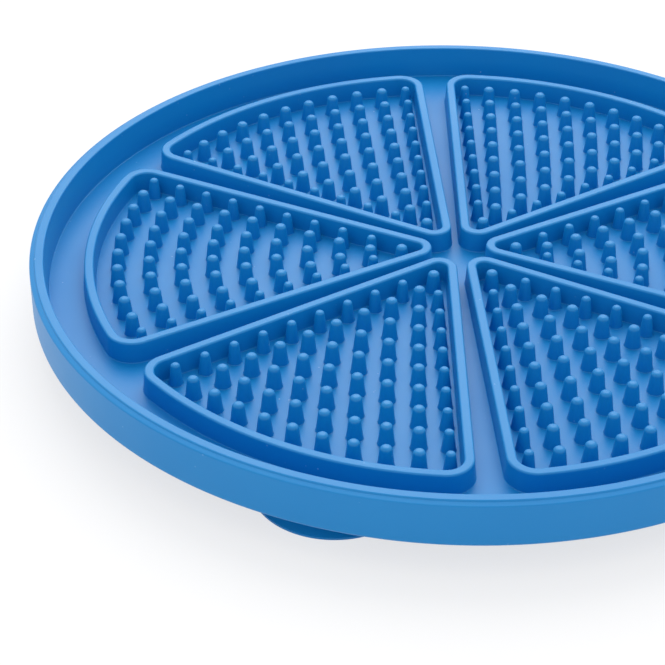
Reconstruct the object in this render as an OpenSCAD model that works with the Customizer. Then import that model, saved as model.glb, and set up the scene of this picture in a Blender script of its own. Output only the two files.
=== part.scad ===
// Round silicone lick mat: a shallow dish with six nubbed pockets, standing on suction cups.
// Frame: origin on the table under the middle of the mat, +Z up, one straight channel along Y.

/* [Mat] */
// Outside diameter of the mat
mat_d = 240; // [200:1:280]
// Thickness of the floor under the pockets and channels
floor_t = 3.6; // [2.6:0.1:6]
// Rounding of the lower outside edge
lower_edge_r = 1.2; // [0.4:0.1:2]

/* [Rim] */
// Height of the side face, from the underside up to the outer ledge
rim_h = 12.8; // [11:0.1:18]
// Width of the narrow ledge outside the bead
ledge_w = 1.3; // [1.1:0.05:1.6]
// Rounding of the outside edge of the ledge
ledge_edge_r = 0.9; // [0.3:0.1:1]
// Width of the flat-topped bead on top of the rim
bead_w = 2.6; // [2:0.1:4]
// Rise of the bead above the ledge
bead_rise = 0.6; // [0.6:0.1:1.2]
// Rounding of both top edges of the bead
bead_edge_r = 0.5; // [0.3:0.1:0.5]
// Lean of the inside face of the rim
rim_draft = 5; // [2:0.5:8]
// Rounding where the inside of the rim meets the floor
rim_toe_r = 0.6; // [0.4:0.1:3]

/* [Pocket walls] */
// Distance from the outside of the mat to the middle of the outer wall of a pocket
ring_w = 16.2; // [14.5:0.1:24]
// Width of a channel at the middle of the mat, between the middles of the walls
channel_w = 4.7; // [4.7:0.1:7]
// Flare of each side of a channel towards the rim
channel_flare = 1.6; // [0.5:0.1:3]
// Plan rounding of the inner corner of a pocket, to the middle of its wall
apex_r = 3.7; // [3.4:0.1:5]
// Plan rounding of the outer corners of a pocket, to the middle of its wall
corner_r = 6; // [5:0.1:9]
// Height of a pocket wall above the floor
wall_h = 6; // [5:0.1:7.5]
// Thickness of a pocket wall across its top
wall_t = 2.6; // [2:0.1:2.8]
// Rounding of both top edges of a pocket wall
wall_edge_r = 0.6; // [0.4:0.1:0.9]
// Lean of both faces of a pocket wall
wall_draft = 3.5; // [1:0.5:5]
// Rounding where the outside of a pocket wall meets the floor
outer_toe_r = 0.6; // [0.5:0.1:1.8]
// Rounding where the inside of a pocket wall meets the floor
inner_toe_r = 0.4; // [0.2:0.05:0.5]

/* [Nubs] */
// Height of a nub above the floor
nub_h = 6.2; // [4:0.1:7]
// Diameter of a nub at its foot
nub_d = 4.5; // [3.6:0.1:4.8]
// Diameter of the round tip of a nub
nub_tip_d = 3.3; // [2:0.1:3.4]
// Diameter at its foot of a slim nub beside a wall
slim_nub_d = 3.9; // [3:0.1:4]
// Diameter of the round tip of a slim nub
slim_nub_tip_d = 2.6; // [1.6:0.1:2.8]
// Spacing of the nubs along a row
nub_pitch = 8.25; // [7:0.05:8.3]
// Spacing of the rows, which curve with the rim
row_pitch = 8.87; // [8:0.01:8.9]
// Radius of the first full row
first_row_r = 25; // [24.5:0.1:26]
// Distance of the slim nubs from the middle of the wall beside them
slim_setback = 4.5; // [4.3:0.05:4.7]
// Least distance from the last row to the middle of the outer wall
last_row_gap = 5; // [4.4:0.1:7]
// Thickness of the slice of floor that carries the nubs of one pocket
pad_t = 1.2; // [0.8:0.1:2.4]

/* [Suction cups] */
// Diameter of a suction cup at its lip
cup_d = 42.4; // [30:0.1:50]
// Height of a suction cup, which is also the gap under the mat
cup_h = 9; // [8.8:0.1:14]
// Distance from the outside of the mat to the middle of a cup
cup_inset = 27.6; // [26:0.1:50]
// Turn of the ring of cups from the X axis
cup_turn = 66; // [0:1:90]
// Diameter of the neck that joins a cup to the mat
cup_neck_d = 12; // [9:0.1:18]
// Rounding between the neck and the bell of a cup
cup_neck_r = 1; // [0.4:0.1:1.4]
// Depth of the hollow under a cup
cup_hollow_h = 5.4; // [4.8:0.1:5.6]
// Thickness of the bell at its middle
cup_wall_t = 1.6; // [1.2:0.1:1.8]
// Width of the flat lip that meets the table
cup_lip_w = 1.3; // [0.8:0.1:2.5]
// Thickness of the edge of the lip
cup_lip_t = 0.8; // [0.4:0.1:1.6]

/* [Hidden] */

silicone = [0.16, 0.5, 0.8];
silicone_light = [0.27, 0.59, 0.85];
silicone_dark = [0.06, 0.36, 0.66];

pocket_count = 6;
cup_count = 4;
overrun = 1;
overrun_angle = 2;
// The straight sides of a pocket wall are this much slimmer than the roundings, which lap
// over their ends by this length
side_slim = 0.04;
side_lap = 0.3;
$fn = 48;
ring_fn = 180;
nub_fn = 24;

mat_r = mat_d / 2;
// Radius of the outer arc of a pocket, to the middle of its wall
pocket_r = mat_r - ring_w;
cup_ring_r = mat_r - cup_inset;
// Levels above the table
underside_z = cup_h;
floor_z = underside_z + floor_t;
ledge_z = underside_z + rim_h;

// A pocket is drawn with its middle line along X. Its side leaves the apex at this angle.
side_angle = 180 / pocket_count - channel_flare;
// Distance from the middle of the mat to where the two sides would meet
apex_x = channel_w / 2 / cos(channel_flare) / sin(side_angle);
// Middle of the apex rounding
apex_c = [apex_x + apex_r / sin(side_angle), 0];
// Where a side leaves the apex rounding and reaches the corner rounding, along the side
side_start = apex_r / tan(side_angle);
side_along = apex_x * cos(side_angle);
side_across = apex_x * sin(side_angle) + corner_r;
side_end = sqrt(pow(pocket_r - corner_r, 2) - pow(side_across, 2)) - side_along;
// Angle, seen from the middle of the mat, at which the outer arc meets a corner rounding
arc_angle = side_angle - asin(side_across / (pocket_r - corner_r));
corner_c = (pocket_r - corner_r) * [cos(arc_angle), sin(arc_angle)];
// How far the wall turns at a corner, and from a side to the tip of the apex
corner_sweep = 90 + side_angle - arc_angle;
apex_sweep = 90 - side_angle;

function lap_angle(r) = side_lap / r * 180 / PI;
function side_point(along) = [apex_x + along * cos(side_angle), along * sin(side_angle)];
function pocket_turn(i) = 360 / pocket_count * (i - 1);
function cup_angle(i) = cup_turn + 360 / cup_count * (i - 1);

// Nub places
nub_rows = 1 + floor((pocket_r - last_row_gap - first_row_r) / row_pitch);
function row_r(k) = first_row_r + row_pitch * (k - 1);
function row_step(k) = nub_pitch / row_r(k) * 180 / PI;
function slim_angle(k) = side_angle - asin((slim_setback + apex_x * sin(side_angle)) / row_r(k));

// Fills the hollow corner between a leaning face and the floor, with a round of radius r.
// The face meets the floor at foot and leans back by lean degrees.
module toe(foot, lean, r) {
    middle = foot - r * tan(lean) + r / cos(lean);
    difference() {
        polygon([
            [0, 0], [middle, 0],
            [middle - r * cos(lean), r - r * sin(lean)], [0, r - r * sin(lean)]
        ]);
        translate([middle, r]) circle(r);
    }
}

// Cross-section of a pocket wall, smaller by slim: X points out of the pocket, Y up from the floor
module wall_profile(slim) {
    edge_x = wall_t / 2 - wall_edge_r - slim;
    edge_y = wall_h - wall_edge_r - slim;
    shoulder = [edge_x + wall_edge_r * cos(wall_draft), edge_y + wall_edge_r * sin(wall_draft)];
    foot = shoulder[0] + shoulder[1] * tan(wall_draft);
    polygon([
        [-foot, 0], [foot, 0], shoulder, [edge_x, wall_h - slim], [-edge_x, wall_h - slim],
        [-shoulder[0], shoulder[1]]
    ]);
    translate([edge_x, edge_y]) circle(wall_edge_r);
    translate([-edge_x, edge_y]) circle(wall_edge_r);
    toe(foot, wall_draft, outer_toe_r);
    mirror([1, 0]) toe(foot, wall_draft, inner_toe_r);
}

// Half of the outer arc of a pocket's wall with one corner. Both start from the line where they
// meet, so their end faces are the same. The arc runs on past the middle line, where it is cut.
module half_arc() {
    intersection() {
        rotate([0, 0, arc_angle]) {
            mirror([0, 1, 0]) rotate_extrude(angle = arc_angle + overrun_angle, $fn = ring_fn)
                translate([pocket_r, 0]) wall_profile(0);
            translate([pocket_r - corner_r, 0, 0])
                rotate_extrude(angle = corner_sweep + lap_angle(corner_r))
                    translate([corner_r, 0]) wall_profile(0);
        }
        translate([0, 0, -overrun]) cube([mat_r, mat_r, wall_h + 2 * overrun]);
    }
}

// The wall round one pocket, standing on the floor. Its straight sides are slightly slimmer
// than the roundings, which lap over their ends.
module pocket_wall(i) {
    apex_reach = apex_sweep + lap_angle(apex_r);
    color(silicone_light) rotate([0, 0, pocket_turn(i)]) translate([0, 0, floor_z]) {
        for (side = [0, 1]) mirror([0, side, 0]) {
            half_arc();
            translate(side_point(side_start)) rotate([90, 0, 90 + side_angle])
                linear_extrude(side_end - side_start) wall_profile(side_slim);
        }
        translate(apex_c) rotate([0, 0, 180 - apex_reach]) rotate_extrude(angle = 2 * apex_reach)
            translate([apex_r, 0]) wall_profile(0);
    }
}

// Plan of one pocket, with its edge hidden under the wall, as a plate that starts at the
// underside of a nubbed slice
module pocket_plate(t) {
    tip = [apex_c[0] - apex_r, 0];
    corner_mid_angle = arc_angle + corner_sweep / 2;
    corner_mid = corner_c + corner_r * [cos(corner_mid_angle), sin(corner_mid_angle)];
    beyond_arc = mat_r * [cos(arc_angle), sin(arc_angle)];
    half = [side_point(side_start), side_point(side_end), corner_mid, beyond_arc];
    other_half = [for (n = [len(half) - 1:-1:0]) [half[n][0], -half[n][1]]];
    translate([0, 0, floor_z - pad_t]) intersection() {
        cylinder(h = t, r = pocket_r, $fn = ring_fn);
        linear_extrude(t) polygon(concat([tip], half, other_half));
    }
}

// One tapered nub with a round tip
module nub(d, tip_d) {
    lean = atan((d - tip_d) / 2 / (nub_h - tip_d / 2));
    tip_r = tip_d / 2;
    shoulder = [tip_r * cos(lean), nub_h - tip_r + tip_r * sin(lean)];
    rotate_extrude($fn = nub_fn) {
        polygon([[0, 0], [shoulder[0] + shoulder[1] * tan(lean), 0], shoulder, [0, shoulder[1]]]);
        intersection() {
            translate([0, nub_h - tip_r]) circle(tip_r);
            translate([0, shoulder[1]]) square([tip_r, tip_r]);
        }
    }
}

// The nubs of one pocket, on the slice of floor that carries them
module nub_pad(i) {
    color(silicone) rotate([0, 0, pocket_turn(i)]) {
        pocket_plate(pad_t);
        translate([0, 0, floor_z]) {
            translate([first_row_r - row_pitch, 0]) nub(nub_d, nub_tip_d);
            for (k = [1:nub_rows]) {
                for (j = [0:k - 1])
                    rotate([0, 0, (j - (k - 1) / 2) * row_step(k)])
                        translate([row_r(k), 0]) nub(nub_d, nub_tip_d);
                for (side = [-1, 1])
                    rotate([0, 0, side * slim_angle(k)])
                        translate([row_r(k), 0]) nub(slim_nub_d, slim_nub_tip_d);
            }
        }
    }
}

// Disc that carries everything, with a seat for each slice of nubbed floor
module base() {
    color(silicone) difference() {
        rotate_extrude($fn = ring_fn) {
            translate([0, underside_z]) square([mat_r - lower_edge_r, floor_t]);
            translate([0, underside_z + lower_edge_r]) square([mat_r, floor_t - lower_edge_r]);
            translate([mat_r - lower_edge_r, underside_z + lower_edge_r]) circle(lower_edge_r);
        }
        for (i = [1:pocket_count]) rotate([0, 0, pocket_turn(i)]) pocket_plate(pad_t + overrun);
    }
}

// Cross-section of the rim above the floor: X is the distance from the middle, Y the height
module rim_profile() {
    outer_x = mat_r - ledge_w - bead_edge_r;
    inner_x = mat_r - ledge_w - bead_w + bead_edge_r;
    top_z = ledge_z + bead_rise;
    edge_z = top_z - bead_edge_r;
    shoulder = [inner_x - bead_edge_r * cos(rim_draft), edge_z + bead_edge_r * sin(rim_draft)];
    foot = shoulder[0] - (shoulder[1] - floor_z) * tan(rim_draft);
    polygon([
        [foot, floor_z], [mat_r, floor_z], [mat_r, ledge_z - ledge_edge_r],
        [mat_r - ledge_edge_r, ledge_z], [mat_r - ledge_w, ledge_z],
        [mat_r - ledge_w, edge_z], [outer_x, top_z], [inner_x, top_z], shoulder
    ]);
    translate([mat_r - ledge_edge_r, ledge_z - ledge_edge_r]) circle(ledge_edge_r);
    translate([outer_x, edge_z]) circle(bead_edge_r);
    translate([inner_x, edge_z]) circle(bead_edge_r);
    translate([mat_r, floor_z]) mirror([1, 0]) toe(mat_r - foot, rim_draft, rim_toe_r);
}

module rim() {
    color(silicone_light) rotate_extrude($fn = ring_fn) rim_profile();
}

// Bell of one suction cup, hollow below, with a short neck that meets the underside of the mat
module cup_profile() {
    cup_r = cup_d / 2;
    neck_r = cup_neck_d / 2;
    hollow_r = cup_r - cup_lip_w;
    hollow_dome_r = (pow(hollow_r, 2) + pow(cup_hollow_h, 2)) / (2 * cup_hollow_h);
    bell_top = cup_hollow_h + cup_wall_t;
    bell_rise = bell_top - cup_lip_t;
    bell_r = (pow(cup_r, 2) + pow(bell_rise, 2)) / (2 * bell_rise);
    bell_y = bell_top - bell_r;
    // Middle of the rounding between neck and bell, and the place where it touches the bell
    round_c = [
        neck_r + cup_neck_r,
        bell_y + sqrt(pow(bell_r + cup_neck_r, 2) - pow(neck_r + cup_neck_r, 2))
    ];
    touch = [0, bell_y] + (round_c - [0, bell_y]) * bell_r / (bell_r + cup_neck_r);
    difference() {
        union() {
            square([cup_r, cup_lip_t]);
            intersection() {
                translate([0, bell_y]) circle(bell_r, $fn = ring_fn);
                translate([0, cup_lip_t]) square([cup_r, bell_rise]);
            }
            difference() {
                polygon([
                    [0, touch[1]], touch, round_c, [neck_r, round_c[1]], [neck_r, cup_h], [0, cup_h]
                ]);
                translate(round_c) circle(cup_neck_r);
            }
        }
        translate([0, cup_hollow_h - hollow_dome_r]) circle(hollow_dome_r, $fn = ring_fn);
    }
}

module suction_cup(i) {
    color(silicone_dark) rotate([0, 0, cup_angle(i)]) translate([cup_ring_r, 0])
        rotate_extrude($fn = ring_fn) cup_profile();
}

base();
rim();
pocket_wall(1);  // pocket_wall_1
pocket_wall(2);  // pocket_wall_2
pocket_wall(3);  // pocket_wall_3
pocket_wall(4);  // pocket_wall_4
pocket_wall(5);  // pocket_wall_5
pocket_wall(6);  // pocket_wall_6
nub_pad(1);  // nub_pad_1
nub_pad(2);  // nub_pad_2
nub_pad(3);  // nub_pad_3
nub_pad(4);  // nub_pad_4
nub_pad(5);  // nub_pad_5
nub_pad(6);  // nub_pad_6
suction_cup(1);  // suction_cup_1
suction_cup(2);  // suction_cup_2
suction_cup(3);  // suction_cup_3
suction_cup(4);  // suction_cup_4
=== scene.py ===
"""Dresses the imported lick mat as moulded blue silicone, standing on a plain pale floor."""

import math

import bmesh
import bpy
from mathutils import Matrix, Vector


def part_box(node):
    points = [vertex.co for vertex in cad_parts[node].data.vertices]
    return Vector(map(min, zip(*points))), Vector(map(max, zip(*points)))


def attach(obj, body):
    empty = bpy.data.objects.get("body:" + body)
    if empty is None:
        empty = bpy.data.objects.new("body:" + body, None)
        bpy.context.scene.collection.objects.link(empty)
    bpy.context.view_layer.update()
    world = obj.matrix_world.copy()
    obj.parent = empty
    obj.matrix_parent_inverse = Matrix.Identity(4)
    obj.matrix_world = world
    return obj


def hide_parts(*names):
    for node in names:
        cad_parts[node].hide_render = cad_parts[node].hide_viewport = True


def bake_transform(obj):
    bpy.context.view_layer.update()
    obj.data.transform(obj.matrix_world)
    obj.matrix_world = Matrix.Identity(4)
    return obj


bl_info = {
    "name": "Lick mat",
    "version": (1, 0, 0),
    "blender": (4, 5, 0),
    "location": "View3D > Sidebar > Lick mat",
    "description": "Builds a round silicone lick mat with nubbed pockets and suction cups",
    "category": "Object",
}

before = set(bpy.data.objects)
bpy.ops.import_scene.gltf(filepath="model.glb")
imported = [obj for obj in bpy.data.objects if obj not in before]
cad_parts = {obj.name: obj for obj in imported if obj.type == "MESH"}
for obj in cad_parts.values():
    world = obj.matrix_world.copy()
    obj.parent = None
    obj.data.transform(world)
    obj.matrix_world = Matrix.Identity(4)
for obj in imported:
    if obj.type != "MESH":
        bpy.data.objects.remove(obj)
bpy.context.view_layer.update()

MM = 0.001
UP = (0, 0, 1)
MAT_BODY = "mat"
POCKETS = range(1, 7)
CUPS = range(1, 5)

# Levels and places that the frame gives
UNDERSIDE_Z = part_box("base")[0].z
FLOOR_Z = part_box("rim")[0].z
RIM_TOP_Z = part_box("rim")[1].z
WALL_TOP_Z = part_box("pocket_wall_1")[1].z
NUB_TOP_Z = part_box("nub_pad_1")[1].z
PAD_LOW_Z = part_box("nub_pad_1")[0].z
CUP_CENTRES = [sum(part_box(f"suction_cup_{i}"), Vector()) / 2 for i in CUPS]
TURN_PER_POCKET = math.tau / len(POCKETS)

# Points closer together than this become one
MERGE = 0.002 * MM
# Steps round the whole mat, a cup and a nub
RING_STEPS = 256
CUP_STEPS = 96
NUB_STEPS = 14
# Steps along a dome of a cup, along half the outer arc of a pocket, and round each of its corners
BELL_STEPS = 14
ARC_STEPS = 32
CORNER_STEPS = 12
# Steps of a rounded edge, and of roundings that are wider or hardly seen
EDGE_STEPS = 5
WIDE_STEPS = 6
SMALL_STEPS = 3
NUB_TOE_STEPS = 2
# Share of the lip's thickness by which its lower edge is rounded
LIP_ROUNDING = 0.4

# Sizes of the patterns in the silicone
PATCH = 40 * MM
SPECK_SPACING = 3.2 * MM
DUSTY_PATCH = 11 * MM
GRAIN = 0.3 * MM
WAVE = 12 * MM
GRAIN_DEPTH = 0.1 * MM
WAVE_DEPTH = 0.3 * MM
SCATTER_DEPTH = 0.6 * MM
# Share of the spacing within which a speck is full, and at which it has faded out
SPECK_FULL = 0.05
SPECK_END = 0.09
# Roughness of the glossiest and the dullest patches
ROUGH_LOW = 0.38
ROUGH_HIGH = 0.46
SILICONE_IOR = 1.44

# Middle and diameter of the soft box, half the width of the floor, and the camera's sensor in mm
LAMP_PLACE = Vector((0.1, 1.0, 1.2))
LAMP_SIZE = 1.6
FLOOR_REACH = 4
FLOOR_ROUGHNESS = 0.7
SENSOR_WIDTH = 36


def length(name, description, default_mm):
    """A length property that is shown in millimetres."""
    return bpy.props.FloatProperty(
        name=name, description=description, default=default_mm * MM, unit="LENGTH", precision=5
    )


def turn(name, description, default_deg):
    """An angle property."""
    return bpy.props.FloatProperty(
        name=name, description=description, default=math.radians(default_deg), subtype="ANGLE"
    )


def colour(name, description, code):
    """A colour property, written as an sRGB hex value."""
    return bpy.props.FloatVectorProperty(
        name=name, description=description, default=linear(code), subtype="COLOR", size=4, min=0, max=1
    )


def linear(code):
    """Linear RGBA of an sRGB hex value such as 2E86CE."""
    parts = [int(code[n:n + 2], 16) / 255 for n in (0, 2, 4)]
    return [c / 12.92 if c <= 0.04045 else ((c + 0.055) / 1.055) ** 2.4 for c in parts] + [1.0]


class MatSizes(bpy.types.PropertyGroup):
    """Sizes of the floor and the rim."""

    radius: length("Radius", "Outside radius of the mat", 120)
    lower_edge: length("Lower edge", "Rounding of the lower outside edge", 1.2)
    ledge: length("Ledge", "Width of the ledge outside the bead", 1.3)
    ledge_drop: length("Ledge drop", "Height of the frame's rim above the ledge", 0.6)
    ledge_fall: length("Ledge fall", "Height by which the ledge slopes down to its outer edge", 0.45)
    ledge_edge: length("Ledge edge", "Rounding of the ledge's outer edge", 0.45)
    bead: length("Bead", "Width of the flat-topped bead", 2.6)
    bead_rise: length("Bead rise", "Height of the bead above the ledge", 0.42)
    bead_edge: length("Bead edge", "Rounding of the bead's top edges", 0.4)
    flank: length("Flank", "Width of the sloping flank between bead and ledge", 0.2)
    hollow: length("Hollow", "Rounding between flank and ledge", 0.15)
    toe: length("Toe", "Rounding where the rim meets the floor", 0.3)
    draft: turn("Draft", "Lean of the rim's inside face", 5)
    sink: length("Sink", "Depth to which rim and walls reach into the floor", 0.02)


class PocketSizes(bpy.types.PropertyGroup):
    """Sizes of the pocket walls."""

    radius: length("Radius", "Radius of a pocket's outer arc, to the middle of its wall", 103.8)
    channel: length("Channel", "Width of a channel at the middle of the mat", 4.7)
    flare: turn("Flare", "Flare of each side of a channel", 1.6)
    apex: length("Apex", "Plan rounding of the inner corner", 3.7)
    corner: length("Corner", "Plan rounding of the outer corners", 6)
    thickness: length("Thickness", "Thickness of the wall across its top", 2.6)
    edge: length("Edge", "Rounding of the wall's top edges", 0.6)
    draft: turn("Draft", "Lean of both faces", 3.5)
    outer_toe: length("Outer toe", "Rounding where the wall meets the channel", 0.3)
    inner_toe: length("Inner toe", "Rounding where the wall meets the pocket's floor", 0.25)


class NubSizes(bpy.types.PropertyGroup):
    """Sizes and spacing of the nubs."""

    foot: length("Foot", "Diameter of a nub at its foot", 4.5)
    tip: length("Tip", "Diameter at its flat top, before rounding", 3.0)
    tip_edge: length("Tip edge", "Rounding of its top", 1.1)
    slim_foot: length("Slim foot", "Diameter of a slim nub at its foot", 3.9)
    slim_tip: length("Slim tip", "Diameter at its flat top, before rounding", 2.35)
    slim_edge: length("Slim edge", "Rounding of its top", 0.85)
    toe: length("Toe", "Rounding where a nub meets the floor", 0.2)
    pitch: length("Pitch", "Spacing along a row", 8.25)
    row_pitch: length("Row pitch", "Spacing of the rows", 8.87)
    first_row: length("First row", "Radius of the first full row", 25)
    last_gap: length("Last gap", "Least distance from the last row to the outer wall", 5)
    setback: length("Setback", "Distance of the slim nubs from the middle of the wall", 4.5)


class CupSizes(bpy.types.PropertyGroup):
    """Sizes of a suction cup."""

    hollow: length("Hollow", "Depth of the hollow", 5.4)
    wall: length("Wall", "Thickness of the bell at its middle", 1.6)
    lip: length("Lip", "Width of the flat lip", 1.3)
    lip_edge: length("Lip edge", "Thickness of the lip at its edge", 0.8)
    neck: length("Neck", "Diameter of the neck", 12)
    neck_toe: length("Neck toe", "Rounding between neck and bell", 1)


class SiliconeLook(bpy.types.PropertyGroup):
    """Colours of the silicone."""

    blue: colour("Blue", "Main colour of the silicone", "0286CA")
    deep: colour("Deep blue", "Colour of its darker patches", "027FC5")
    dust: colour("Dust", "Colour of the specks of dust on it", "A9CDEE")


class StageLook(bpy.types.PropertyGroup):
    """Camera, light and floor."""

    key: bpy.props.FloatProperty(
        name="Key", description="Power of the soft box above", default=15, unit="POWER"
    )
    fill: bpy.props.FloatProperty(name="Fill", description="Strength of the even surround", default=0.85)
    glow: bpy.props.FloatProperty(
        name="Glow", description="Share of white in the floor that is seen", default=0.7
    )

    lens: bpy.props.FloatProperty(
        name="Lens", description="Focal length", default=111.74, subtype="DISTANCE_CAMERA"
    )
    distance: length("Distance", "From the camera to the middle of the rim", 581.45)
    height: turn("Height", "Angle at which the camera looks down on the middle", 31.52)
    round: turn("Round", "Turn of the camera about the mat, from the front", -5.75)
    aside: turn("Aside", "Turn of the view to the left of the middle", 3.41)
    below: turn("Below", "Turn of the view above the middle, negative for below", -2.82)
    roll: turn("Roll", "Roll of the camera", -2.11)
    floor: colour("Floor", "Colour of the floor", "FAFAFB")


# Node trees

def node(tree, kind, settings=None, **links):
    """Adds a node, sets its properties, and links or sets its inputs by name or number."""
    made = tree.nodes.new(kind)
    for name, value in (settings or {}).items():
        setattr(made, name, value)
    for name, value in links.items():
        key = int(name[2:]) if name.startswith("in") and name[2:].isdigit() else name.replace("_", " ")
        socket = made.inputs[key]
        if isinstance(value, bpy.types.NodeSocket):
            tree.links.new(value, socket)
        else:
            socket.default_value = value
    return made


def moulded_silicone(look):
    """Silicone rubber, moulded in a fine-blasted tool: an even colour right through, a soft satin
    gloss, a little light that scatters below the surface, and the dust that silicone attracts."""
    material = bpy.data.materials.new("moulded_silicone")
    material.use_nodes = True
    tree = material.node_tree
    shader = tree.nodes["Principled BSDF"]
    place = tree.nodes.new("ShaderNodeTexCoord").outputs["Object"]

    # Patches, about 40 mm across, where the colour and the gloss drift a little
    drift = node(tree, "ShaderNodeTexNoise", Vector=place, Scale=1 / PATCH, Detail=3.0)
    tint = node(tree, "ShaderNodeMix", {"data_type": "RGBA"}, in0=drift.outputs["Fac"])
    tint.inputs[6].default_value = look.blue
    tint.inputs[7].default_value = look.deep
    # Specks of dust 0.3 to 0.6 mm across, coarser than real ones, in the patches where dust gathers
    speck = node(tree, "ShaderNodeTexVoronoi", Vector=place, Scale=1 / SPECK_SPACING)
    near = node(
        tree, "ShaderNodeMapRange", Value=speck.outputs["Distance"],
        From_Min=SPECK_FULL, From_Max=SPECK_END, To_Min=1.0, To_Max=0.0
    )
    dusty = node(tree, "ShaderNodeTexNoise", Vector=place, Scale=1 / DUSTY_PATCH, Detail=2.0)
    where = node(
        tree, "ShaderNodeMapRange", Value=dusty.outputs["Fac"],
        From_Min=0.55, From_Max=0.7, To_Min=0.0, To_Max=0.6
    )
    dust = node(
        tree, "ShaderNodeMath", {"operation": "MULTIPLY"}, in0=near.outputs[0], in1=where.outputs[0]
    )
    coat = node(tree, "ShaderNodeMix", {"data_type": "RGBA"}, in0=dust.outputs[0])
    tree.links.new(tint.outputs[2], coat.inputs[6])
    coat.inputs[7].default_value = look.dust
    tree.links.new(coat.outputs[2], shader.inputs["Base Color"])

    gloss = node(
        tree, "ShaderNodeMapRange", Value=drift.outputs["Fac"],
        From_Min=0.3, From_Max=0.7, To_Min=ROUGH_LOW, To_Max=ROUGH_HIGH
    )
    tree.links.new(gloss.outputs[0], shader.inputs["Roughness"])
    # Grain of the blasted mould, 0.3 mm where the real one is finer, and flow waves 12 mm across
    grain = node(tree, "ShaderNodeTexNoise", Vector=place, Scale=1 / GRAIN, Detail=2.0)
    waves = node(tree, "ShaderNodeTexNoise", Vector=place, Scale=1 / WAVE, Detail=1.0)
    fine = node(tree, "ShaderNodeBump", Height=grain.outputs["Fac"], Strength=0.06, Distance=GRAIN_DEPTH)
    coarse = node(
        tree, "ShaderNodeBump", Height=waves.outputs["Fac"], Strength=0.25, Distance=WAVE_DEPTH,
        Normal=fine.outputs[0]
    )
    tree.links.new(coarse.outputs[0], shader.inputs["Normal"])
    shader.inputs["IOR"].default_value = SILICONE_IOR
    shader.inputs["Subsurface Weight"].default_value = 0.05
    shader.inputs["Subsurface Radius"].default_value = (0.3, 0.7, 1.0)
    shader.inputs["Subsurface Scale"].default_value = SCATTER_DEPTH
    return material


def seen_rays(tree):
    """1 for the rays that look at a backdrop: straight, in a gloss or through glass."""
    path = tree.nodes.new("ShaderNodeLightPath").outputs
    both = node(
        tree, "ShaderNodeMath", {"operation": "MAXIMUM"}, in0=path["Is Camera Ray"], in1=path["Is Glossy Ray"]
    )
    return node(
        tree, "ShaderNodeMath", {"operation": "MAXIMUM"}, in0=both.outputs[0], in1=path["Is Transmission Ray"]
    ).outputs[0]


def silicone():
    """The one silicone material, made on first use."""
    return bpy.data.materials.get("moulded_silicone") or moulded_silicone(bpy.context.scene.silicone_look)


# Mesh helpers

def only(items, kind):
    """The items of one bmesh kind."""
    return [item for item in items if isinstance(item, kind)]


def wire(bm, points, closed=False):
    """A chain of edges through the points, which are (across, height) on the plane where Y is 0."""
    verts = [bm.verts.new((x, 0, z)) for x, z in points]
    pairs = list(zip(verts, verts[1:] + verts[:1]))
    for pair in pairs if closed else pairs[:-1]:
        bm.edges.new(pair)
    return verts


def round_corner(bm, vert, radius, steps):
    """Rounds the corner of a chain of edges at a vertex."""
    one, other = [edge.other_vert(vert).co - vert.co for edge in vert.link_edges]
    reach = radius / math.tan(one.angle(other) / 2)
    bmesh.ops.bevel(
        bm, geom=[vert], offset=reach, offset_type="OFFSET", segments=steps, profile=0.5,
        affect="VERTICES", material=-1, clamp_overlap=False
    )


def spin_closed(bm, centre, steps):
    """Spins all that is drawn right round an upright axis, and closes it."""
    bmesh.ops.spin(
        bm, geom=bm.verts[:] + bm.edges[:], cent=centre, axis=UP, angle=math.tau, steps=steps,
        use_merge=True, use_normal_flip=False, use_duplicate=False
    )


def tidy(bm):
    """Merges doubles and points the faces outwards."""
    bmesh.ops.remove_doubles(bm, verts=bm.verts[:], dist=MERGE)
    bmesh.ops.recalc_face_normals(bm, faces=bm.faces[:])


def finish_piece(bm, name, replaced, sharp_deg):
    """Turns a bmesh into a piece of silicone that stands for a CAD node."""
    mesh = bpy.data.meshes.new(name)
    bm.to_mesh(mesh)
    bm.free()
    mesh.shade_smooth()
    mesh.set_sharp_from_angle(angle=math.radians(sharp_deg))
    mesh.materials.append(silicone())
    piece = bpy.data.objects.new(name, mesh)
    bpy.context.scene.collection.objects.link(piece)
    even = piece.modifiers.new("even shading", "WEIGHTED_NORMAL")
    even.keep_sharp = True
    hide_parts(replaced)
    return piece


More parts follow.
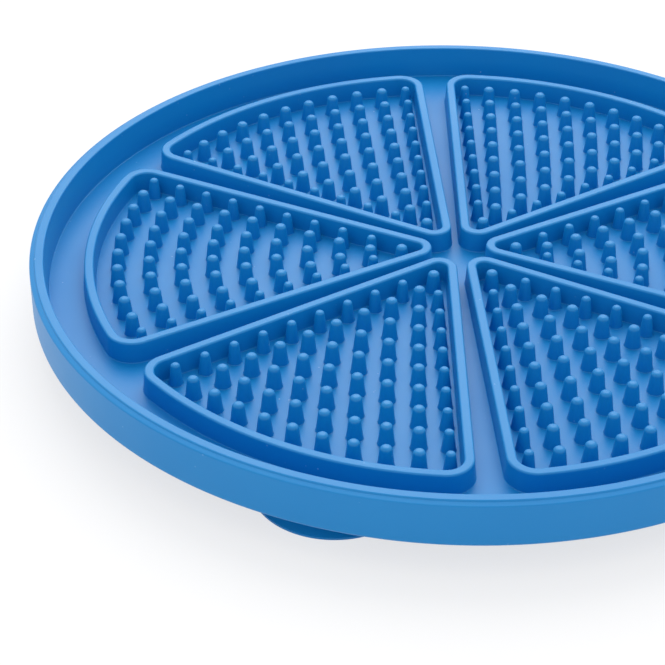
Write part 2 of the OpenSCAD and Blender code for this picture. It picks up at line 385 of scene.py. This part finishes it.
class PocketPlan:
    """Plan of a pocket whose middle line is the X axis, worked out from its sizes."""

    def __init__(self, sizes):
        self.radius = sizes.radius
        self.apex = sizes.apex
        self.corner = sizes.corner
        self.side = TURN_PER_POCKET / 2 - sizes.flare
        # Where the two sides would meet
        self.point_x = sizes.channel / 2 / math.cos(sizes.flare) / math.sin(self.side)
        self.apex_centre = Vector((self.point_x + self.apex / math.sin(self.side), 0, 0))
        self.side_start = self.apex / math.tan(self.side)
        across = self.point_x * math.sin(self.side) + self.corner
        corner_ring = self.radius - self.corner
        self.side_end = math.sqrt(corner_ring ** 2 - across ** 2) - self.point_x * math.cos(self.side)
        self.arc = self.side - math.asin(across / corner_ring)
        self.corner_centre = corner_ring * Vector((math.cos(self.arc), math.sin(self.arc), 0))
        self.side_way = Vector((math.cos(self.side), math.sin(self.side), 0))

    def sweep(self, bm, section, arc_steps, corner_steps, apex_steps):
        """Sweeps a section that stands at the tip of the apex round half the pocket, then mirrors it."""
        quarter = math.pi / 2

        def spin(geom, centre, angle, steps):
            made = bmesh.ops.spin(
                bm, geom=geom, cent=centre, axis=UP, angle=-angle, steps=steps,
                use_merge=False, use_normal_flip=False, use_duplicate=False
            )
            return made["geom_last"]

        end = spin(section, self.apex_centre, quarter - self.side, apex_steps)
        if only(end, bmesh.types.BMEdge):
            run = bmesh.ops.extrude_edge_only(bm, edges=only(end, bmesh.types.BMEdge))["geom"]
        else:
            run = bmesh.ops.extrude_vert_indiv(bm, verts=end)["verts"]
        moved = only(run, bmesh.types.BMVert)
        bmesh.ops.translate(bm, verts=moved, vec=self.side_way * (self.side_end - self.side_start))
        ended = set(moved)
        next_geom = moved + [e for e in only(run, bmesh.types.BMEdge) if set(e.verts) <= ended]
        end = spin(next_geom, self.corner_centre, quarter + self.side - self.arc, corner_steps)
        spin(end, (0, 0, 0), self.arc, arc_steps)
        bmesh.ops.mirror(bm, geom=bm.verts[:] + bm.edges[:] + bm.faces[:], axis="Y", merge_dist=MERGE)
        bmesh.ops.remove_doubles(bm, verts=bm.verts[:], dist=MERGE)

    def outline(self, bm, height):
        """Draws the middle line of the wall as a closed chain of edges, and returns the edges."""
        ring = bmesh.new()
        tip = ring.verts.new((self.apex_centre.x - self.apex, 0, height))
        self.sweep(ring, [tip], ARC_STEPS, CORNER_STEPS, CORNER_STEPS)
        mesh = bpy.data.meshes.new("outline")
        ring.to_mesh(mesh)
        ring.free()
        before = set(bm.edges)
        bm.from_mesh(mesh)
        bpy.data.meshes.remove(mesh)
        return [edge for edge in bm.edges if edge not in before]


def pocket_turn(i):
    """Turn of pocket i about the middle of the mat."""
    return Matrix.Rotation(TURN_PER_POCKET * (i - 1), 3, "Z")


class LICKMAT_OT_floor(bpy.types.Operator):
    """Builds the round floor, with its rounded lower edge and a seat for each nubbed slice"""

    bl_idname = "lickmat.floor"
    bl_label = "Floor"

    def execute(self, context):
        sizes = context.scene.mat_sizes
        plan = PocketPlan(context.scene.pocket_sizes)
        bm = bmesh.new()
        line = wire(bm, [(0, UNDERSIDE_Z), (sizes.radius, UNDERSIDE_Z), (sizes.radius, FLOOR_Z)])
        round_corner(bm, line[1], sizes.lower_edge, EDGE_STEPS)
        spin_closed(bm, (0, 0, 0), RING_STEPS)
        bmesh.ops.remove_doubles(bm, verts=bm.verts[:], dist=MERGE)
        top = [edge for edge in bm.edges if edge.is_boundary]
        for i in POCKETS:
            seat = plan.outline(bm, FLOOR_Z)
            corners = list({vert for edge in seat for vert in edge.verts})
            bmesh.ops.rotate(bm, verts=corners, cent=(0, 0, 0), matrix=pocket_turn(i))
            wall = bmesh.ops.extrude_edge_only(bm, edges=seat)["geom"]
            low = only(wall, bmesh.types.BMVert)
            bmesh.ops.translate(bm, verts=low, vec=(0, 0, PAD_LOW_Z - FLOOR_Z))
            low_set = set(low)
            bmesh.ops.contextual_create(
                bm, geom=[e for e in only(wall, bmesh.types.BMEdge) if set(e.verts) <= low_set]
            )
            top += seat
        bmesh.ops.triangle_fill(bm, edges=top, use_beauty=True, use_dissolve=False, normal=UP)
        tidy(bm)
        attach(finish_piece(bm, "mat_floor", "base", 40), MAT_BODY)
        return {"FINISHED"}


class LICKMAT_OT_rim(bpy.types.Operator):
    """Builds the rim with its flat-topped bead and its ledge"""

    bl_idname = "lickmat.rim"
    bl_label = "Rim"

    def execute(self, context):
        sizes = context.scene.mat_sizes
        ledge_z = RIM_TOP_Z - sizes.ledge_drop
        bead_x = sizes.radius - sizes.ledge
        inside_x = bead_x - sizes.bead
        top_z = ledge_z + sizes.bead_rise
        foot_x = inside_x - (top_z - FLOOR_Z) * math.tan(sizes.draft)
        bm = bmesh.new()
        line = wire(bm, [
            (sizes.radius, FLOOR_Z),
            (sizes.radius, ledge_z - sizes.ledge_fall),
            (bead_x, ledge_z),
            (bead_x - sizes.flank, top_z),
            (inside_x, top_z),
            (foot_x, FLOOR_Z - sizes.sink),
            (foot_x - sizes.toe, FLOOR_Z - sizes.sink),
        ], closed=True)
        for vert, radius, steps in (
            (line[1], sizes.ledge_edge, WIDE_STEPS), (line[2], sizes.hollow, SMALL_STEPS),
            (line[3], sizes.bead_edge, EDGE_STEPS), (line[4], sizes.bead_edge, EDGE_STEPS),
            (line[5], sizes.toe, WIDE_STEPS),
        ):
            round_corner(bm, vert, radius, steps)
        spin_closed(bm, (0, 0, 0), RING_STEPS)
        tidy(bm)
        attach(finish_piece(bm, "mat_rim", "rim", 50), MAT_BODY)
        return {"FINISHED"}


class LICKMAT_OT_pocket_walls(bpy.types.Operator):
    """Builds the closed wall round each pocket"""

    bl_idname = "lickmat.pocket_walls"
    bl_label = "Pocket walls"

    def execute(self, context):
        sizes = context.scene.pocket_sizes
        plan = PocketPlan(sizes)
        height = WALL_TOP_Z - FLOOR_Z
        low = FLOOR_Z - context.scene.mat_sizes.sink
        half_top = sizes.thickness / 2
        foot = half_top + height * math.tan(sizes.draft)
        bm = bmesh.new()
        middle = plan.apex_centre.x - plan.apex
        line = wire(bm, [
            (middle - foot - sizes.outer_toe, low),
            (middle - foot, low),
            (middle - half_top, WALL_TOP_Z),
            (middle + half_top, WALL_TOP_Z),
            (middle + foot, low),
            (middle + foot + sizes.inner_toe, low),
        ], closed=True)
        for vert, radius, steps in (
            (line[1], sizes.outer_toe, WIDE_STEPS), (line[2], sizes.edge, EDGE_STEPS),
            (line[3], sizes.edge, EDGE_STEPS), (line[4], sizes.inner_toe, SMALL_STEPS),
        ):
            round_corner(bm, vert, radius, steps)
        plan.sweep(bm, bm.verts[:] + bm.edges[:], ARC_STEPS, CORNER_STEPS, CORNER_STEPS)
        tidy(bm)
        for i in POCKETS:
            copy = bm.copy()
            bmesh.ops.rotate(copy, verts=copy.verts[:], cent=(0, 0, 0), matrix=pocket_turn(i))
            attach(finish_piece(copy, f"pocket_{i}_wall", f"pocket_wall_{i}", 50), MAT_BODY)
        bm.free()
        return {"FINISHED"}


class LICKMAT_OT_nub_pads(bpy.types.Operator):
    """Builds the nubbed slice of floor in each pocket, with rows of nubs that curve with the rim"""

    bl_idname = "lickmat.nub_pads"
    bl_label = "Nub pads"

    def nub(self, foot, tip, edge, toe):
        """One tapered nub with a softly rounded top, on the Z axis."""
        bm = bmesh.new()
        line = wire(bm, [
            (0, FLOOR_Z - toe), (foot / 2 + toe, FLOOR_Z - toe), (foot / 2 + toe, FLOOR_Z),
            (foot / 2, FLOOR_Z), (tip / 2, NUB_TOP_Z), (0, NUB_TOP_Z),
        ])
        round_corner(bm, line[3], toe, NUB_TOE_STEPS)
        round_corner(bm, line[4], edge, EDGE_STEPS)
        spin_closed(bm, (0, 0, 0), NUB_STEPS)
        tidy(bm)
        return bm

    def places(self, context):
        """Place and kind of each nub of a pocket that faces along X: (radius, angle, slim)."""
        sizes = context.scene.nub_sizes
        plan = PocketPlan(context.scene.pocket_sizes)
        rows = 1 + math.floor((plan.radius - sizes.last_gap - sizes.first_row) / sizes.row_pitch)
        yield sizes.first_row - sizes.row_pitch, 0, False
        for k in range(rows):
            radius = sizes.first_row + sizes.row_pitch * k
            for j in range(k + 1):
                yield radius, (j - k / 2) * sizes.pitch / radius, False
            off_middle = sizes.setback + plan.point_x * math.sin(plan.side)
            slim = plan.side - math.asin(off_middle / radius)
            yield radius, slim, True
            yield radius, -slim, True

    def execute(self, context):
        sizes = context.scene.nub_sizes
        plan = PocketPlan(context.scene.pocket_sizes)
        bm = bmesh.new()
        edge = plan.outline(bm, FLOOR_Z)
        slab = bmesh.ops.contextual_create(bm, geom=edge)["faces"]
        low = bmesh.ops.extrude_face_region(bm, geom=slab)["geom"]
        bmesh.ops.translate(bm, verts=only(low, bmesh.types.BMVert), vec=(0, 0, PAD_LOW_Z - FLOOR_Z))
        kinds = {}
        for slim, foot, tip, edge in (
            (False, sizes.foot, sizes.tip, sizes.tip_edge),
            (True, sizes.slim_foot, sizes.slim_tip, sizes.slim_edge),
        ):
            made = self.nub(foot, tip, edge, sizes.toe)
            kinds[slim] = bpy.data.meshes.new("nub")
            made.to_mesh(kinds[slim])
            made.free()
        for radius, angle, slim in self.places(context):
            first = len(bm.verts)
            bm.from_mesh(kinds[slim])
            bm.verts.ensure_lookup_table()
            verts = bm.verts[first:]
            bmesh.ops.translate(bm, verts=verts, vec=(radius, 0, 0))
            bmesh.ops.rotate(bm, verts=verts, cent=(0, 0, 0), matrix=Matrix.Rotation(angle, 3, "Z"))
        for mesh in kinds.values():
            bpy.data.meshes.remove(mesh)
        bmesh.ops.recalc_face_normals(bm, faces=bm.faces[:])
        for i in POCKETS:
            copy = bm.copy()
            bmesh.ops.rotate(copy, verts=copy.verts[:], cent=(0, 0, 0), matrix=pocket_turn(i))
            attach(finish_piece(copy, f"pocket_{i}_nubs", f"nub_pad_{i}", 60), MAT_BODY)
        bm.free()
        return {"FINISHED"}


class LICKMAT_OT_suction_cups(bpy.types.Operator):
    """Builds the suction cups, each a thin bell with a short neck"""

    bl_idname = "lickmat.suction_cups"
    bl_label = "Suction cups"

    def execute(self, context):
        sizes = context.scene.cup_sizes
        lip_r = (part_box("suction_cup_1")[1].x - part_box("suction_cup_1")[0].x) / 2
        neck_r = sizes.neck / 2
        bell_top = sizes.hollow + sizes.wall
        for i, centre in zip(CUPS, CUP_CENTRES):
            bm = bmesh.new()
            self.bell(bm, lip_r, sizes.lip_edge, bell_top, neck_r)
            self.bell(bm, lip_r - sizes.lip, 0, sizes.hollow, 0)
            rim_pair = [
                min(bm.verts, key=lambda v: (v.co - Vector((lip_r, 0, sizes.lip_edge))).length),
                min(bm.verts, key=lambda v: (v.co - Vector((lip_r - sizes.lip, 0, 0))).length),
            ]
            low = bm.verts.new((lip_r, 0, 0))
            bm.edges.new((rim_pair[0], low))
            bm.edges.new((low, rim_pair[1]))
            round_corner(bm, low, sizes.lip_edge * LIP_ROUNDING, SMALL_STEPS)
            bell_end = max((v for v in bm.verts if abs(v.co.x - neck_r) < MM / 4), key=lambda v: v.co.z)
            neck = [bm.verts.new((neck_r, 0, UNDERSIDE_Z)), bm.verts.new((0, 0, UNDERSIDE_Z))]
            bm.edges.new((bell_end, neck[0]))
            bm.edges.new(neck)
            round_corner(bm, bell_end, sizes.neck_toe, EDGE_STEPS)
            bmesh.ops.translate(bm, verts=bm.verts[:], vec=(centre.x, centre.y, 0))
            spin_closed(bm, (centre.x, centre.y, 0), CUP_STEPS)
            tidy(bm)
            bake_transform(finish_piece(bm, f"cup_{i}_bell", f"suction_cup_{i}", 40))
        return {"FINISHED"}

    def bell(self, bm, radius, low, top, inner):
        """Draws an arc of a dome from radius in to inner, low at its edge and top at its middle."""
        rise = top - low
        dome = (radius ** 2 + rise ** 2) / (2 * rise)
        middle = Vector((0, 0, top - dome))
        start = math.asin(radius / dome)
        stop = math.asin(inner / dome)
        vert = bm.verts.new((radius, 0, low))
        bmesh.ops.spin(
            bm, geom=[vert], cent=middle, axis=(0, 1, 0), angle=stop - start, steps=BELL_STEPS,
            use_merge=False, use_normal_flip=False, use_duplicate=False
        )


class LICKMAT_OT_stage(bpy.types.Operator):
    """Sets the pale floor, the soft light and the camera"""

    bl_idname = "lickmat.stage"
    bl_label = "Stage"

    def execute(self, context):
        look = context.scene.stage_look
        self.pale_floor(look)
        self.light(context, look)
        self.camera(context, look)
        context.scene.view_settings.view_transform = "Standard"
        return {"FINISHED"}

    def pale_floor(self, look):
        """A wide floor, level with the lips of the cups, that can be looked through from below."""
        bm = bmesh.new()
        bmesh.ops.create_grid(bm, x_segments=1, y_segments=1, size=FLOOR_REACH)
        mesh = bpy.data.meshes.new("pale_floor")
        bm.to_mesh(mesh)
        bm.free()
        floor = bpy.data.objects.new("pale_floor", mesh)
        bpy.context.scene.collection.objects.link(floor)
        paint = bpy.data.materials.new("matt_pale_floor")
        paint.use_nodes = True
        shader = paint.node_tree.nodes["Principled BSDF"]
        shader.inputs["Base Color"].default_value = look.floor
        shader.inputs["Roughness"].default_value = FLOOR_ROUGHNESS
        white = node(paint.node_tree, "ShaderNodeEmission", Color=(1, 1, 1, 1), Strength=1.0)
        seen = node(
            paint.node_tree, "ShaderNodeMath", {"operation": "MULTIPLY"},
            in0=seen_rays(paint.node_tree), in1=look.glow
        )
        mix = node(
            paint.node_tree, "ShaderNodeMixShader", in0=seen.outputs[0], in1=shader.outputs[0],
            in2=white.outputs[0]
        )
        behind = paint.node_tree.nodes.new("ShaderNodeNewGeometry").outputs["Backfacing"]
        clear = paint.node_tree.nodes.new("ShaderNodeBsdfTransparent")
        side = node(
            paint.node_tree, "ShaderNodeMixShader", in0=behind, in1=mix.outputs[0], in2=clear.outputs[0]
        )
        paint.node_tree.links.new(side.outputs[0], paint.node_tree.nodes["Material Output"].inputs["Surface"])
        mesh.materials.append(paint)

    def light(self, context, look):
        """A wide soft box above and behind, and an even surround."""
        middle = Vector((0, 0, FLOOR_Z))
        lamp = bpy.data.lights.new("soft_box", "AREA")
        lamp.shape = "DISK"
        lamp.size = LAMP_SIZE
        lamp.energy = look.key
        holder = bpy.data.objects.new("soft_box", lamp)
        holder.location = LAMP_PLACE
        holder.rotation_euler = (LAMP_PLACE - middle).to_track_quat("Z", "Y").to_euler()
        context.scene.collection.objects.link(holder)
        world = bpy.data.worlds.new("pale_surround")
        world.use_nodes = True
        context.scene.world = world
        tree = world.node_tree
        surround = tree.nodes["Background"]
        surround.inputs["Color"].default_value = (1, 1, 1, 1)
        surround.inputs["Strength"].default_value = look.fill
        backdrop = node(tree, "ShaderNodeBackground", Color=(1, 1, 1, 1), Strength=1.0)
        mix = node(
            tree, "ShaderNodeMixShader", in0=seen_rays(tree), in1=surround.outputs[0],
            in2=backdrop.outputs[0]
        )
        tree.links.new(mix.outputs[0], tree.nodes["World Output"].inputs["Surface"])

    def camera(self, context, look):
        """A camera that looks past the middle of the rim, turned and rolled as in the photograph."""
        middle = Vector((0, 0, RIM_TOP_Z - context.scene.mat_sizes.ledge_drop))
        way = Vector((0, -math.cos(look.height), math.sin(look.height)))
        way = Matrix.Rotation(look.round, 3, "Z") @ way
        aim = way.to_track_quat("Z", "Y").to_matrix()
        aim = aim @ Matrix.Rotation(look.aside, 3, "Y")
        aim = aim @ Matrix.Rotation(look.below, 3, "X")
        aim = aim @ Matrix.Rotation(-look.roll, 3, "Z")
        lens = bpy.data.cameras.new("photo_camera")
        lens.sensor_width = SENSOR_WIDTH
        lens.lens = look.lens
        camera = bpy.data.objects.new("photo_camera", lens)
        camera.matrix_world = Matrix.Translation(middle + way * look.distance) @ aim.to_4x4()
        context.scene.collection.objects.link(camera)
        context.scene.camera = camera


class LICKMAT_PT_panel(bpy.types.Panel):
    """Lists the steps that build the mat"""

    bl_idname = "LICKMAT_PT_panel"
    bl_label = "Lick mat"
    bl_space_type = "VIEW_3D"
    bl_region_type = "UI"
    bl_category = "Lick mat"

    def draw(self, context):
        for operator in OPERATORS:
            self.layout.operator(operator.bl_idname)
        for name in GROUPS:
            box = self.layout.box()
            group = getattr(context.scene, name)
            for key in group.__annotations__:
                box.prop(group, key)


GROUPS = {
    "mat_sizes": MatSizes,
    "pocket_sizes": PocketSizes,
    "nub_sizes": NubSizes,
    "cup_sizes": CupSizes,
    "silicone_look": SiliconeLook,
    "stage_look": StageLook,
}
OPERATORS = (
    LICKMAT_OT_stage,
    LICKMAT_OT_floor,
    LICKMAT_OT_rim,
    LICKMAT_OT_pocket_walls,
    LICKMAT_OT_nub_pads,
    LICKMAT_OT_suction_cups,
)


def register():
    """Registers the classes and gives the scene its property groups."""
    for group in GROUPS.values():
        bpy.utils.register_class(group)
    for name, group in GROUPS.items():
        setattr(bpy.types.Scene, name, bpy.props.PointerProperty(type=group))
    for operator in OPERATORS:
        bpy.utils.register_class(operator)
    bpy.utils.register_class(LICKMAT_PT_panel)


def unregister():
    """Undoes register."""
    bpy.utils.unregister_class(LICKMAT_PT_panel)
    for operator in reversed(OPERATORS):
        bpy.utils.unregister_class(operator)
    for name in GROUPS:
        delattr(bpy.types.Scene, name)
    for group in GROUPS.values():
        bpy.utils.unregister_class(group)


def main():
    register()
    for step in ("stage", "floor", "rim", "pocket_walls", "nub_pads", "suction_cups"):
        getattr(bpy.ops.lickmat, step)()


if __name__ == "__main__":
    main()
